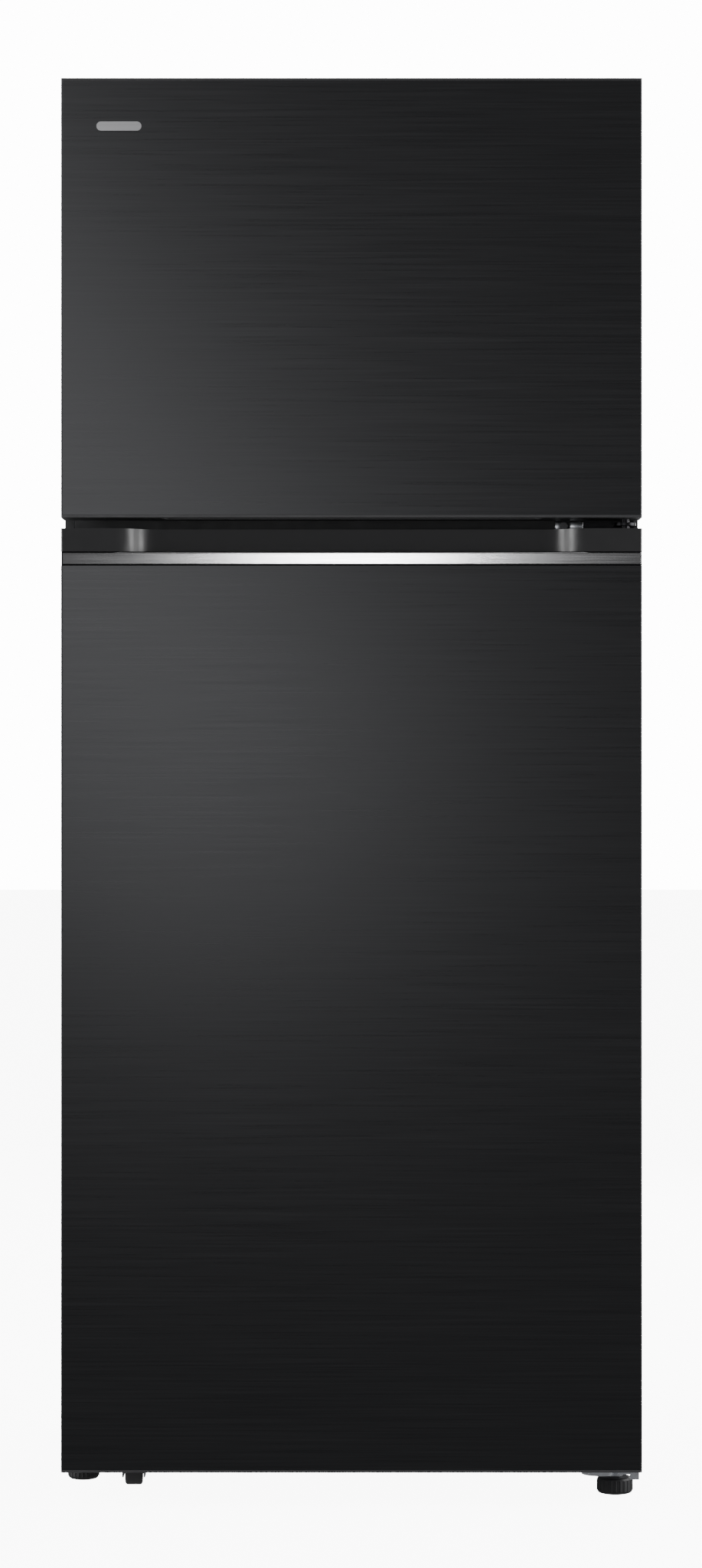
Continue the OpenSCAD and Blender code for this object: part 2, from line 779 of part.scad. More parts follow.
freezer_dike_hw = freezer_hw - 18;
freezer_dike_z0 = freezer_z0 + 18;
freezer_dike_z1 = freezer_z1 - 18;
fridge_dike_hw = fridge_hw - 18;
fridge_dike_z0 = fridge_z0 + 18;
fridge_dike_z1 = fridge_z1 - 22;
dike_y = door_back_y + 40;

module door_liner(z0, z1, w, d0, d1) {
    color(white) difference() {
        union() {
            block([-hw + 1, foam_back_y, z0], [hw - 1, door_back_y, z1]);
            dike(w, d0, d1, dike_y, liner_t);
        }
        dike(w, d0, d1, dike_y, 0);
        block([-hw, front_y, z0], [hw, foam_back_y, z1]);
    }
}

module door_foam(z0, z1, w, d0, d1) {
    union() {
        door_core(z0, z1);
        dike(w, d0, d1, dike_y, 0);
    }
}

// Magnetic gasket ring against the cabinet front
module door_gasket(half, z0, z1) {
    color(rubber_grey) ring(door_back_y, case_front_y - 0.3, half, z0, z1, 22);
}

// Row of door bins, each [z0, height, back y]
module door_bins(half, list) {
    color(clear_blue) for (b = list) {
        tub([-half, door_back_y, b[0]], [half, b[2], b[0] + b[1]], bin_wall);
        block([-half, b[2] - 3, b[0] + b[1] - 0.5], [half, b[2] + 3, b[0] + b[1] + 3]);
    }
}

module freezer_door_skin() {
    color(steel) difference() {
        door_wrap(freezer_door_z0 + rim_h, total_h - rim_h);
        hinge_pocket();
    }
}

module freezer_door_top_cap() {
    color(black) difference() {
        union() {
            door_core(total_h - 30, total_h - rim_h);
            intersection() {
                door_core(case_top - 28, total_h - 30);
                hinge_boss();
            }
            cap_rim(total_h - rim_h, total_h, door_back_y);
            block([-hw + 1, foam_back_y - 1, case_top - 2], [hw - 1, door_back_y, total_h - rim_h]);
        }
        hinge_pocket();
        rod_z([hinge_x, hinge_y, case_top - 23], bore_r, 40);
    }
}

module freezer_door_grip() {
    color(black) difference() {
        union() {
            door_core(freezer_door_z0 + rim_h, freezer_door_z0 + 36);
            cap_rim(freezer_door_z0, freezer_door_z0 + rim_h, foam_back_y);
        }
        translate([0, front_y + 25, freezer_door_z0 - 1]) linear_extrude(27) rounded_rect(460, 32, 14);
        rod_z([hinge_x, hinge_y, freezer_door_z0 - 1], bore_r, 20);
    }
}

module freezer_door_foam() {
    color("#e8d9a0") difference() {
        door_foam(freezer_door_z0 + 36, total_h - 30, freezer_dike_hw, freezer_dike_z0, freezer_dike_z1);
        hinge_boss();
    }
}

module freezer_door_liner() {
    door_liner(freezer_door_z0 + 1, case_top - 2, freezer_dike_hw, freezer_dike_z0, freezer_dike_z1);
}

module freezer_door_gasket() {
    door_gasket(hw - 19, freezer_door_z0 + 6, case_top - 6);
}

module freezer_door_bins() {
    door_bins(freezer_dike_hw - 24 - liner_t, [[1268, 74, -196], [1450, 74, -196]]);
}

// Plain oblong name plate
module badge() {
    color(zinc) translate([-280, front_y, 1662]) rotate([90, 0, 0])
        linear_extrude(badge_t) rounded_rect(54, 11, 5.4);
}

// S-shaped end of the grip recess in plan: points from the face back to the recess wall
grip_run = 60;
grip_turn = 2 * atan(grip_depth / grip_run);
grip_arc_r = grip_run / (2 * sin(grip_turn));
function grip_end(steps) = concat(
    [for (i = [0 : steps]) let (a = grip_turn * i / steps)
        [grip_arc_r * sin(a), grip_arc_r * (1 - cos(a))]],
    [for (i = [steps - 1 : -1 : 0]) let (a = grip_turn * i / steps)
        [grip_run - grip_arc_r * sin(a), grip_depth - grip_arc_r * (1 - cos(a))]]);
grip_x0 = -290;
grip_x1 = 290;

module grip_outline() {
    left = [for (p = grip_end(10)) [grip_x0 + p.x, front_y + p.y]];
    right = [for (p = grip_end(10)) [grip_x1 - p.x, front_y + p.y]];
    polygon(concat([[grip_x0, front_y - 2]], left,
        [for (i = [len(right) - 1 : -1 : 0]) right[i]], [[grip_x1, front_y - 2]]));
}

module fridge_door_grip() {
    z0 = fridge_door_z1 - 70;
    lip_y = front_y + 10;
    color(black) difference() {
        union() {
            door_core(z0, strip_z0);
            translate([0, 0, strip_z0]) linear_extrude(strip_h) difference() {
                front_rounded(hw, front_y, foam_back_y, edge_r);
                translate([-hw - 1, front_y - 1]) square([body_w + 2, 9]);
            }
            cap_rim(strip_z1, fridge_door_z1, foam_back_y);
        }
        translate([0, 0, strip_z1]) linear_extrude(40) grip_outline();
        block([grip_x0 + grip_run, lip_y, strip_z0 - 14],
              [grip_x1 - grip_run, front_y + grip_depth, strip_z1 + 1]);
        rod_z([hinge_x, hinge_y, fridge_door_z1 - 20], bore_r, 30);
    }
}

module fridge_door_strip() {
    c = 1.8;
    color("#c9cacc") translate([-hw + 2, 0, 0]) rotate([90, 0, 90]) linear_extrude(body_w - 4)
        polygon([[front_y + c, strip_z0], [front_y + 8, strip_z0], [front_y + 8, strip_z1],
            [front_y + c, strip_z1], [front_y, strip_z1 - c], [front_y, strip_z0 + c]]);
}

module fridge_door_skin() {
    color(steel) door_wrap(fridge_door_z0 + rim_h, strip_z0);
}

module fridge_door_bottom_cap() {
    color(black) difference() {
        union() {
            door_core(fridge_door_z0 + rim_h, fridge_door_z0 + 34);
            cap_rim(fridge_door_z0, fridge_door_z0 + rim_h, foam_back_y);
        }
        rod_z([hinge_x, hinge_y, fridge_door_z0 - 1], bore_r, 21);
    }
}

module fridge_door_foam() {
    color("#e8d9a0") door_foam(fridge_door_z0 + 34, fridge_door_z1 - 70,
        fridge_dike_hw, fridge_dike_z0, fridge_dike_z1);
}

module fridge_door_liner() {
    door_liner(fridge_door_z0 + 2, fridge_door_z1 - 1, fridge_dike_hw, fridge_dike_z0, fridge_dike_z1);
}

module fridge_door_gasket() {
    door_gasket(hw - 19, 74, fridge_door_z1 - 6);
}

module fridge_door_bins() {
    door_bins(fridge_dike_hw - 24 - liner_t, [[146, 130, -170], [480, 100, -178], [820, 90, -186]]);
}

// ---------- nodes ----------

outer_case();
back_panel();
insulation_foam();
freezer_liner();
fridge_liner();
mullion_cover();
base_frame();
compressor_base();
top_hinge();
hinge_cover();
middle_hinge();
lower_hinge();
hinge_screws();
machine_cover();
compressor();
condenser();
condenser_motor();
drain_pan();
board_cover();
evaporator_motor();
evaporator();
evaporator_cover();
freezer_shelf();
ice_maker_frame();
air_duct();
lamp_lens();
control_housing();
glass_shelf_upper();
glass_shelf_lower();
crisper_cover();
shelf_trims();
crisper_drawer();
chill_drawer();
ice_bin();
ice_tray();
evaporator_fan();
condenser_fan();
foot_left();
foot_right();
front_roller();
rear_roller_left();
rear_roller_right();
airflow_slider();
temperature_button();
freezer_door_skin();
freezer_door_top_cap();
freezer_door_grip();
freezer_door_foam();
freezer_door_liner();
freezer_door_gasket();
freezer_door_bins();
badge();
fridge_door_skin();
fridge_door_grip();
fridge_door_strip();
fridge_door_bottom_cap();
fridge_door_foam();
fridge_door_liner();
fridge_door_gasket();
fridge_door_bins();
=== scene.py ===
"""Top freezer refrigerator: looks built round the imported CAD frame. Metres, +Z up, front towards -Y."""
import math

import bmesh
import bpy
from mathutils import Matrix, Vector


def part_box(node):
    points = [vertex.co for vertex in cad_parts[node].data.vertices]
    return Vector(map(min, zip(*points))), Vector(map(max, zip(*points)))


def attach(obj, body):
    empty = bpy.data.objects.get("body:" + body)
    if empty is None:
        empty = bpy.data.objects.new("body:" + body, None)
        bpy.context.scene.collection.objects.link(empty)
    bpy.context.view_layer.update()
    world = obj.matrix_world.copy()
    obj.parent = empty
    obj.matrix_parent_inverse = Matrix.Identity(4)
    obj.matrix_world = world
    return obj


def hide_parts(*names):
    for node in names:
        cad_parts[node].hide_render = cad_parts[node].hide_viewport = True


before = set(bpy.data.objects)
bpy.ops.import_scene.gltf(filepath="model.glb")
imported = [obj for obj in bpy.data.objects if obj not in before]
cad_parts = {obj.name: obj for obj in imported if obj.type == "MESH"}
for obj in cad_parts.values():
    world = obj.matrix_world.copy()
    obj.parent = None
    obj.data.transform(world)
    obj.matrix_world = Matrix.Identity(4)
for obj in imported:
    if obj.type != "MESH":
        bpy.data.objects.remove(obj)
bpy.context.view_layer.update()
scene = bpy.context.scene
MM = 0.001

# ---------------------------------------------------------------- camera and stage

DOOR_FACE_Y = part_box("freezer_door_skin")[0].y
CAMERA_DISTANCE = 5.2
CAMERA_HEIGHT = 0.870
VISIBLE_HEIGHT = 1.8876
SENSOR = 36.0
KEY_TURN = math.radians(36)
BACKDROP_STRENGTH = 14.0
FLOOR_GLOW_UNSEEN = 0.25
FLOOR_GLOW_SEEN = 9.0

camera_data = bpy.data.cameras.new("camera")
camera_data.sensor_width = SENSOR
camera_data.lens = SENSOR * CAMERA_DISTANCE / VISIBLE_HEIGHT
camera_data.clip_end = 100
camera = bpy.data.objects.new("camera", camera_data)
camera.location = (-0.0006, DOOR_FACE_Y - CAMERA_DISTANCE, CAMERA_HEIGHT)
camera.rotation_euler = (math.radians(90), 0, 0)
scene.collection.objects.link(camera)
scene.camera = camera


def area_light(name, place, target, size, power, colour=(1, 1, 1)):
    """Soft box at place, facing target; size is (width, height) in metres."""
    data = bpy.data.lights.new(name, "AREA")
    data.shape = "RECTANGLE"
    data.size, data.size_y = size
    data.energy = power
    data.color = colour
    lamp = bpy.data.objects.new(name, data)
    lamp.location = place
    lamp.rotation_euler = (Vector(target) - Vector(place)).to_track_quat("-Z", "Y").to_euler()
    lamp.visible_camera = False
    scene.collection.objects.link(lamp)
    return lamp


key = area_light("key_left", (-0.70, -2.95, 1.50), (-0.50, -0.35, 1.3), (0.70, 2.1), 10.5)
key.rotation_euler.rotate_axis("Z", KEY_TURN)
strip_lamp = area_light("strip_panel", (0.0, -5.4, 1.41), (0.0, -0.35, 1.141), (0.36, 0.24), 38)
left = area_light("side_left", (-2.5, -0.5, 1.2), (0, -0.3, 1.1), (2.1, 2.2), 75)
right = area_light("side_right", (2.5, -0.5, 1.2), (0, -0.3, 1.1), (2.1, 2.2), 75)
area_light("top", (0, 0.1, 3.6), (0, 0.0, 0), (2.2, 1.6), 40)
area_light("back", (1.3, 3.6, 1.9), (0, 0.3, 0.9), (1.8, 1.8), 90)

# Some lights reach only some pieces. The small panel lights the strip alone, so that the doors keep
# their own soft gradient; the side lights leave out the strip, and the key also leaves out the grip.
strip_only = bpy.data.collections.new("strip_only")
strip_only.objects.link(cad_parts["fridge_door_strip"])
strip_lamp.light_linking.receiver_collection = strip_only
all_but_strip = bpy.data.collections.new("all_but_strip")
all_but_strip.objects.link(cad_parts["fridge_door_strip"])
all_but_strip.collection_objects[0].light_linking.link_state = "EXCLUDE"
for lamp in (left, right):
    lamp.light_linking.receiver_collection = all_but_strip
key_takes = bpy.data.collections.new("key_takes")
for i, name in enumerate(("fridge_door_strip", "fridge_door_grip")):
    key_takes.objects.link(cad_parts[name])
    key_takes.collection_objects[i].light_linking.link_state = "EXCLUDE"
key.light_linking.receiver_collection = key_takes

world = bpy.data.worlds.new("studio")
scene.world = world
world.use_nodes = True
wn, wl = world.node_tree.nodes, world.node_tree.links
wn.clear()
out = wn.new("ShaderNodeOutputWorld")
mix = wn.new("ShaderNodeMixShader")
path = wn.new("ShaderNodeLightPath")
seen = wn.new("ShaderNodeBackground")
seen.inputs["Color"].default_value = (1, 1, 1, 1)
seen.inputs["Strength"].default_value = BACKDROP_STRENGTH
lit = wn.new("ShaderNodeBackground")
coord = wn.new("ShaderNodeTexCoord")
split = wn.new("ShaderNodeSeparateXYZ")
ramp = wn.new("ShaderNodeValToRGB")
ramp.color_ramp.elements[0].position = 0.35
ramp.color_ramp.elements[0].color = (0.22, 0.22, 0.225, 1)
ramp.color_ramp.elements[1].position = 0.9
ramp.color_ramp.elements[1].color = (0.34, 0.34, 0.35, 1)
half = wn.new("ShaderNodeMapRange")
half.inputs["From Min"].default_value = -1
wl.new(coord.outputs["Generated"], split.inputs[0])
wl.new(split.outputs["Z"], half.inputs["Value"])
wl.new(half.outputs["Result"], ramp.inputs["Fac"])
wl.new(ramp.outputs["Color"], lit.inputs["Color"])
wl.new(path.outputs["Is Camera Ray"], mix.inputs["Fac"])
wl.new(lit.outputs[0], mix.inputs[1])
wl.new(seen.outputs[0], mix.inputs[2])
wl.new(mix.outputs[0], out.inputs["Surface"])

# ---------------------------------------------------------------- materials


def new_material(name, colour, roughness, metallic=0.0, **sockets):
    """Material with a Principled shader; constants go straight on its sockets."""
    m = bpy.data.materials.new(name)
    m.use_nodes = True
    shader = m.node_tree.nodes["Principled BSDF"]
    shader.inputs["Base Color"].default_value = (*colour, 1)
    shader.inputs["Roughness"].default_value = roughness
    shader.inputs["Metallic"].default_value = metallic
    for key, value in sockets.items():
        shader.inputs[key.replace("_", " ")].default_value = value
    m.diffuse_color = (*colour, 1)
    return m


def noise(m, scale, stretch=(1, 1, 1), detail=4.0, rough=0.55):
    """Noise in object space, in cycles per metre along each axis; returns its Fac output."""
    nodes, links = m.node_tree.nodes, m.node_tree.links
    where = nodes.new("ShaderNodeTexCoord")
    turn = nodes.new("ShaderNodeMapping")
    turn.inputs["Scale"].default_value = [scale * s for s in stretch]
    n = nodes.new("ShaderNodeTexNoise")
    n.inputs["Scale"].default_value = 1.0
    n.inputs["Detail"].default_value = detail
    n.inputs["Roughness"].default_value = rough
    links.new(where.outputs["Object"], turn.inputs["Vector"])
    links.new(turn.outputs["Vector"], n.inputs["Vector"])
    return n.outputs["Fac"]


def vary(m, socket, source, low, high):
    """Drives one shader socket with a noise value mapped to low..high."""
    nodes, links = m.node_tree.nodes, m.node_tree.links
    shader = nodes["Principled BSDF"]
    span = nodes.new("ShaderNodeMapRange")
    span.inputs["From Min"].default_value = 0.3
    span.inputs["From Max"].default_value = 0.7
    span.inputs["To Min"].default_value = low
    span.inputs["To Max"].default_value = high
    links.new(source, span.inputs["Value"])
    links.new(span.outputs["Result"], shader.inputs[socket])


def tint(m, source, dark, light):
    """Drives the base colour between two colours with a noise value."""
    nodes, links = m.node_tree.nodes, m.node_tree.links
    shader = nodes["Principled BSDF"]
    r = nodes.new("ShaderNodeValToRGB")
    r.color_ramp.elements[0].position = 0.3
    r.color_ramp.elements[0].color = (*dark, 1)
    r.color_ramp.elements[1].position = 0.7
    r.color_ramp.elements[1].color = (*light, 1)
    links.new(source, r.inputs["Fac"])
    links.new(r.outputs["Color"], shader.inputs["Base Color"])


def bump(m, source, strength, depth):
    """Adds a bump from a height source; depth in metres. Bumps stack."""
    nodes, links = m.node_tree.nodes, m.node_tree.links
    shader = nodes["Principled BSDF"]
    b = nodes.new("ShaderNodeBump")
    b.inputs["Strength"].default_value = strength
    b.inputs["Distance"].default_value = depth
    if shader.inputs["Normal"].is_linked:
        links.new(shader.inputs["Normal"].links[0].from_socket, b.inputs["Normal"])
    links.new(source, b.inputs["Height"])
    links.new(b.outputs["Normal"], shader.inputs["Normal"])


def scaled(colour, k):
    return tuple(min(1.0, c * k) for c in colour)


def brushed(name, colour, roughness, spread=0.06, contrast=0.12, grain=420, along="x", **sockets):
    """Metal brushed along one axis: long fine streaks in colour, roughness and height."""
    m = new_material(name, colour, roughness, 1.0, **sockets)
    stretch = {"x": (0.012, 1, 1), "z": (1, 1, 0.012)}[along]
    streak = noise(m, grain, stretch, 5, 0.65)
    fine = noise(m, grain * 3.3, stretch, 3, 0.6)
    cloud = noise(m, 3.0, (1, 1, 1), 2, 0.5)
    tint(m, streak, scaled(colour, 1 - contrast), scaled(colour, 1 + contrast))
    vary(m, "Roughness", streak, roughness - spread, roughness + spread)
    bump(m, fine, 0.12, 0.00006)
    bump(m, cloud, 0.05, 0.0008)
    return m


def sheet_metal(name, colour, roughness, flake=90):
    """Galvanised or zinc-plated sheet: crystal patches and light scuffs."""
    m = new_material(name, colour, roughness, 1.0)
    nodes, links = m.node_tree.nodes, m.node_tree.links
    where = nodes.new("ShaderNodeTexCoord")
    cells = nodes.new("ShaderNodeTexVoronoi")
    cells.inputs["Scale"].default_value = flake
    links.new(where.outputs["Object"], cells.inputs["Vector"])
    grey = nodes.new("ShaderNodeRGBToBW")
    links.new(cells.outputs["Color"], grey.inputs[0])
    tint(m, grey.outputs[0], scaled(colour, 0.93), scaled(colour, 1.05))
    vary(m, "Roughness", noise(m, 14, detail=3), roughness - 0.04, roughness + 0.06)
    bump(m, noise(m, 700), 0.08, 0.00005)
    return m


def moulded(name, colour, roughness, grain=1400, depth=0.00006, strength=0.25, shift=0.04, wave=0.04,
            **sockets):
    """Moulded plastic or powder coat: fine texture with slight waviness and colour drift."""
    m = new_material(name, colour, roughness, 0.0, **sockets)
    tint(m, noise(m, 18, detail=3), scaled(colour, 1 - shift), scaled(colour, 1 + shift))
    vary(m, "Roughness", noise(m, 60, detail=5), roughness - 0.05, roughness + 0.07)
    bump(m, noise(m, grain, detail=2), strength, depth)
    bump(m, noise(m, 9, detail=2), wave, 0.0006)
    return m


BLACK_STEEL = brushed("black_steel", (0.052, 0.0525, 0.0545), 0.3, 0.04, 0.10, 380)
STRIP_METAL = brushed("strip_metal", (0.12, 0.12, 0.122), 0.125, 0.02, 0.04, 700)
BADGE_METAL = brushed("badge_metal", (0.42, 0.42, 0.43), 0.36, 0.04, 0.06, 900)
GRIP_GLOSS = moulded("grip_gloss", (0.007, 0.007, 0.0078), 0.33, 900, 0.00002, 0.05, 0.05, 0.0, IOR=1.8)
RIM_PLASTIC = moulded("rim_plastic", (0.03, 0.03, 0.032), 0.42)
CASE_PAINT = moulded("case_paint", (0.02, 0.0205, 0.022), 0.46, 1100, 0.00005, 0.3)
BLACK_PLASTIC = moulded("black_plastic", (0.012, 0.012, 0.013), 0.5)
BLACK_COAT = moulded("black_coat", (0.016, 0.016, 0.017), 0.55, 1800, 0.00008, 0.4)
ENAMEL = moulded("compressor_enamel", (0.008, 0.008, 0.009), 0.25, 300, 0.0001, 0.15)
LINER = moulded("liner_plastic", (0.84, 0.85, 0.86), 0.3, 900, 0.00002, 0.06, 0.01, 0.015)
WHITE_PLASTIC = moulded("white_plastic", (0.74, 0.75, 0.76), 0.4, 1300, 0.00005, 0.2, 0.015)
GREY_PLASTIC = moulded("grey_plastic", (0.055, 0.056, 0.058), 0.5)
ROLLER_PLASTIC = moulded("roller_plastic", (0.035, 0.035, 0.036), 0.42, 1000, 0.00006, 0.3)
FOAM = moulded("foam", (0.62, 0.5, 0.26), 0.85, 500, 0.0003, 0.5, 0.08)
GASKET = moulded("gasket_vinyl", (0.12, 0.122, 0.125), 0.48, 1500, 0.00005, 0.25)
ZINC = sheet_metal("zinc_sheet", (0.52, 0.54, 0.56), 0.4)
PLATED = sheet_metal("plated_steel", (0.66, 0.68, 0.71), 0.26, 240)
SCREW = sheet_metal("screw_steel", (0.12, 0.12, 0.125), 0.22, 500)
DARK_STEEL = sheet_metal("dark_steel", (0.03, 0.03, 0.032), 0.34, 200)
ALUMINIUM = brushed("bare_aluminium", (0.72, 0.73, 0.74), 0.34, 0.06, 0.06, 300, "z")
COPPER = sheet_metal("coated_tube", (0.3, 0.13, 0.07), 0.32, 300)
LAMP = moulded("lamp_opal", (0.85, 0.85, 0.8), 0.4, 800, 0.00004, 0.1, 0.01)
LAMP.node_tree.nodes["Principled BSDF"].inputs["Emission Color"].default_value = (1, 0.96, 0.88, 1)
LAMP.node_tree.nodes["Principled BSDF"].inputs["Emission Strength"].default_value = 1.2


def clear(name, colour, alpha, roughness, ior=1.5):
    """Thin clear material: light passes through by its alpha."""
    m = new_material(name, colour, roughness, 0.0, Alpha=alpha, IOR=ior)
    vary(m, "Roughness", noise(m, 40, detail=4), roughness, roughness + 0.07)
    bump(m, noise(m, 60, detail=2), 0.05, 0.0004)
    return m


GLASS = clear("shelf_glass", (0.6, 0.78, 0.73), 0.2, 0.03)
CLEAR = clear("clear_plastic", (0.74, 0.82, 0.88), 0.2, 0.07, 1.49)
ICE_BLUE = clear("ice_blue_plastic", (0.42, 0.62, 0.74), 0.66, 0.22, 1.49)

FINISH = {
    "outer_case": CASE_PAINT, "back_panel": ZINC, "insulation_foam": FOAM, "freezer_liner": LINER,
    "fridge_liner": LINER, "mullion_cover": CASE_PAINT, "base_frame": ZINC, "compressor_base": ZINC,
    "top_hinge": PLATED, "hinge_cover": BLACK_PLASTIC, "middle_hinge": DARK_STEEL, "lower_hinge": PLATED,
    "hinge_screws": SCREW, "machine_cover": BLACK_COAT, "compressor": ENAMEL, "condenser": COPPER,
    "condenser_motor": BLACK_COAT, "drain_pan": GREY_PLASTIC, "board_cover": ZINC,
    "evaporator_motor": BLACK_PLASTIC, "evaporator": ALUMINIUM, "evaporator_cover": LINER,
    "freezer_shelf": GLASS, "ice_maker_frame": WHITE_PLASTIC, "air_duct": WHITE_PLASTIC,
    "lamp_lens": LAMP, "control_housing": WHITE_PLASTIC, "glass_shelf_upper": GLASS,
    "glass_shelf_lower": GLASS, "crisper_cover": GLASS, "shelf_trims": WHITE_PLASTIC,
    "crisper_drawer": CLEAR, "chill_drawer": CLEAR, "ice_bin": CLEAR, "ice_tray": ICE_BLUE,
    "evaporator_fan": WHITE_PLASTIC, "condenser_fan": BLACK_PLASTIC, "foot_left": BLACK_PLASTIC,
    "foot_right": BLACK_PLASTIC, "front_roller": ROLLER_PLASTIC, "rear_roller_left": ROLLER_PLASTIC,
    "rear_roller_right": ROLLER_PLASTIC, "airflow_slider": GREY_PLASTIC,
    "temperature_button": GREY_PLASTIC, "freezer_door_skin": BLACK_STEEL,
    "freezer_door_top_cap": RIM_PLASTIC, "freezer_door_grip": RIM_PLASTIC, "freezer_door_foam": FOAM,
    "freezer_door_liner": LINER, "freezer_door_gasket": GASKET, "freezer_door_bins": CLEAR,
    "badge": BADGE_METAL, "fridge_door_skin": BLACK_STEEL, "fridge_door_grip": GRIP_GLOSS,
    "fridge_door_strip": STRIP_METAL, "fridge_door_bottom_cap": RIM_PLASTIC,
    "fridge_door_foam": FOAM, "fridge_door_liner": LINER, "fridge_door_gasket": GASKET,
    "fridge_door_bins": CLEAR,
}

# bevel width in millimetres and number of segments, where a node's edges are rounded
ROUND = {
    "outer_case": (0.9, 3), "hinge_cover": (1.2, 3), "fridge_door_strip": (0.5, 3), "badge": (0.25, 2),
    "fridge_door_grip": (1.2, 4), "freezer_door_top_cap": (1.2, 4), "freezer_door_grip": (1.2, 4),
    "fridge_door_bottom_cap": (1.2, 4), "freezer_door_skin": (0.25, 2), "fridge_door_skin": (0.25, 2),
}
ROUND_DEFAULT = (0.4, 2)


def smooth_faces(obj):
    for p in obj.data.polygons:
        p.use_smooth = True


def clear_normals(obj):
    bpy.context.view_layer.objects.active = obj
    bpy.ops.mesh.customdata_custom_splitnormals_clear()


def soften(obj, width, segments):
    """Weld, small bevel on real edges, and normals weighted by area."""
    clear_normals(obj)
    smooth_faces(obj)
    weld = obj.modifiers.new("weld", "WELD")
    weld.merge_threshold = 0.00001
    b = obj.modifiers.new("bevel", "BEVEL")
    b.width = width * MM
    b.segments = segments
    b.limit_method = "ANGLE"
    b.angle_limit = math.radians(32)
    b.miter_outer = "MITER_ARC"
    b.use_clamp_overlap = True
    n = obj.modifiers.new("normals", "WEIGHTED_NORMAL")
    n.keep_sharp = False
    n.weight = 90


for node_name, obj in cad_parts.items():
    obj.data.materials.clear()
    obj.data.materials.append(FINISH[node_name])
    soften(obj, *ROUND.get(node_name, ROUND_DEFAULT))

# ---------------------------------------------------------------- pieces made here, in millimetres


def rounded(x0, x1, v0, v1, r, steps=6):
    """Points round a rectangle with rounded corners, counter-clockwise."""
    r = max(min(r, (x1 - x0) / 2 - 0.01, (v1 - v0) / 2 - 0.01), 0.01)
    found = []
    for cx, cv, turn in ((x1 - r, v0 + r, -90), (x1 - r, v1 - r, 0),
                         (x0 + r, v1 - r, 90), (x0 + r, v0 + r, 180)):
        for k in range(steps + 1):
            a = math.radians(turn + 90 * k / steps)
            found.append((cx + r * math.cos(a), cv + r * math.sin(a)))
    return found


class Shape:
    """Mesh under construction: shells are lofted, then made into one object."""

    def __init__(self):
        self.verts, self.faces = [], []

    def loft(self, rings, ends=(True, True), closed=False):
        n, start = len(rings[0]), len(self.verts)
        for ring in rings:
            self.verts.extend(Vector(p) * MM for p in ring)
        count = len(rings)
        for i in range(count if closed else count - 1):
            low, high = start + i * n, start + ((i + 1) % count) * n
            for j in range(n):
                k = (j + 1) % n
                self.faces.append((low + j, low + k, high + k, high + j))
        if ends[0] and not closed:
            self.faces.append(tuple(start + j for j in reversed(range(n))))
        if ends[1] and not closed:
            self.faces.append(tuple(start + (count - 1) * n + j for j in range(n)))
        return self

    def flat(self, rings, **kw):
        """Rings are (outline in x and y, height)."""
        return self.loft([[(x, y, z) for x, y in points] for points, z in rings], **kw)

    def upright(self, rings, **kw):
        """Rings are (outline in x and z, depth)."""
        return self.loft([[(x, y, z) for x, z in points] for points, y in rings], **kw)

    def bar(self, low, high, r=1.0, axis="z"):
        """Rounded bar between two corners; its long edges along the axis and its ends are rounded."""
        order = {"z": (0, 1, 2), "y": (0, 2, 1), "x": (1, 2, 0)}[axis]
        a, b, c = order
        rings = []
        for inset, at in ((r, 0), (r * 0.3, r * 0.3), (0, r)):
            rings.append((inset, low[c] + at))
        for inset, at in ((0, r), (r * 0.3, r * 0.3), (r, 0)):
            rings.append((inset, high[c] - at))
        full = []
        for inset, level in rings:
            ring = []
            for u, v in rounded(low[a] + inset, high[a] - inset, low[b] + inset, high[b] - inset, r, 3):
                p = [0, 0, 0]
                p[a], p[b], p[c] = u, v, level
                ring.append(p)
            full.append(ring)
        return self.loft(full)

    def make(self, name, material, body, finish, nodes=(), sharp=38):
        mesh = bpy.data.meshes.new(name)
        mesh.from_pydata(self.verts, [], self.faces)
        mesh.validate()
        b = bmesh.new()
        b.from_mesh(mesh)
        bmesh.ops.recalc_face_normals(b, faces=b.faces)
        b.to_mesh(mesh)
        b.free()
        mesh.shade_smooth()
        mesh.set_sharp_from_angle(angle=math.radians(sharp))
        mesh.materials.append(material)
        obj = bpy.data.objects.new(name, mesh)
        scene.collection.objects.link(obj)
        if nodes:
            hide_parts(*nodes)
        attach(obj, body)
        return obj


def arc(steps, start=0, end=90):
    return [math.radians(start + (end - start) * k / steps) for k in range(steps + 1)]


def tub(shape, x0, x1, y0, y1, z0, z1, wall, r=9, draft=3, lip=2.2, lip_h=5, foot=7):
    """Moulded tub: drafted walls, rounded floor edge, and a rolled lip at the mouth."""
    rings = []

    def ring(inset, z):
        rings.append((rounded(x0 + inset, x1 - inset, y0 + inset, y1 - inset, r), z))

    for a in arc(4):
        ring(lip + draft + foot * (1 - math.sin(a)), z0 + foot * (1 - math.cos(a)))
    ring(lip, z1 - lip_h)
    ring(0.4, z1 - lip_h)
    ring(0, z1 - lip_h + 0.5)
    ring(0, z1 - 0.9)
    ring(0.3, z1 - 0.3)
    ring(0.9, z1)
    ring(lip + wall - 0.9, z1)
    ring(lip + wall - 0.2, z1 - 0.3)
    ring(lip + wall, z1 - 1.0)
    for a in reversed(arc(4)):
        inner = foot - wall / 2
        ring(lip + draft + wall + inner * (1 - math.sin(a)), z0 + wall + inner * (1 - math.cos(a)))
    return shape.flat(rings)


def node_box(name):
    low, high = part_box(name)
    return [v * 1000 for v in low], [v * 1000 for v in high]


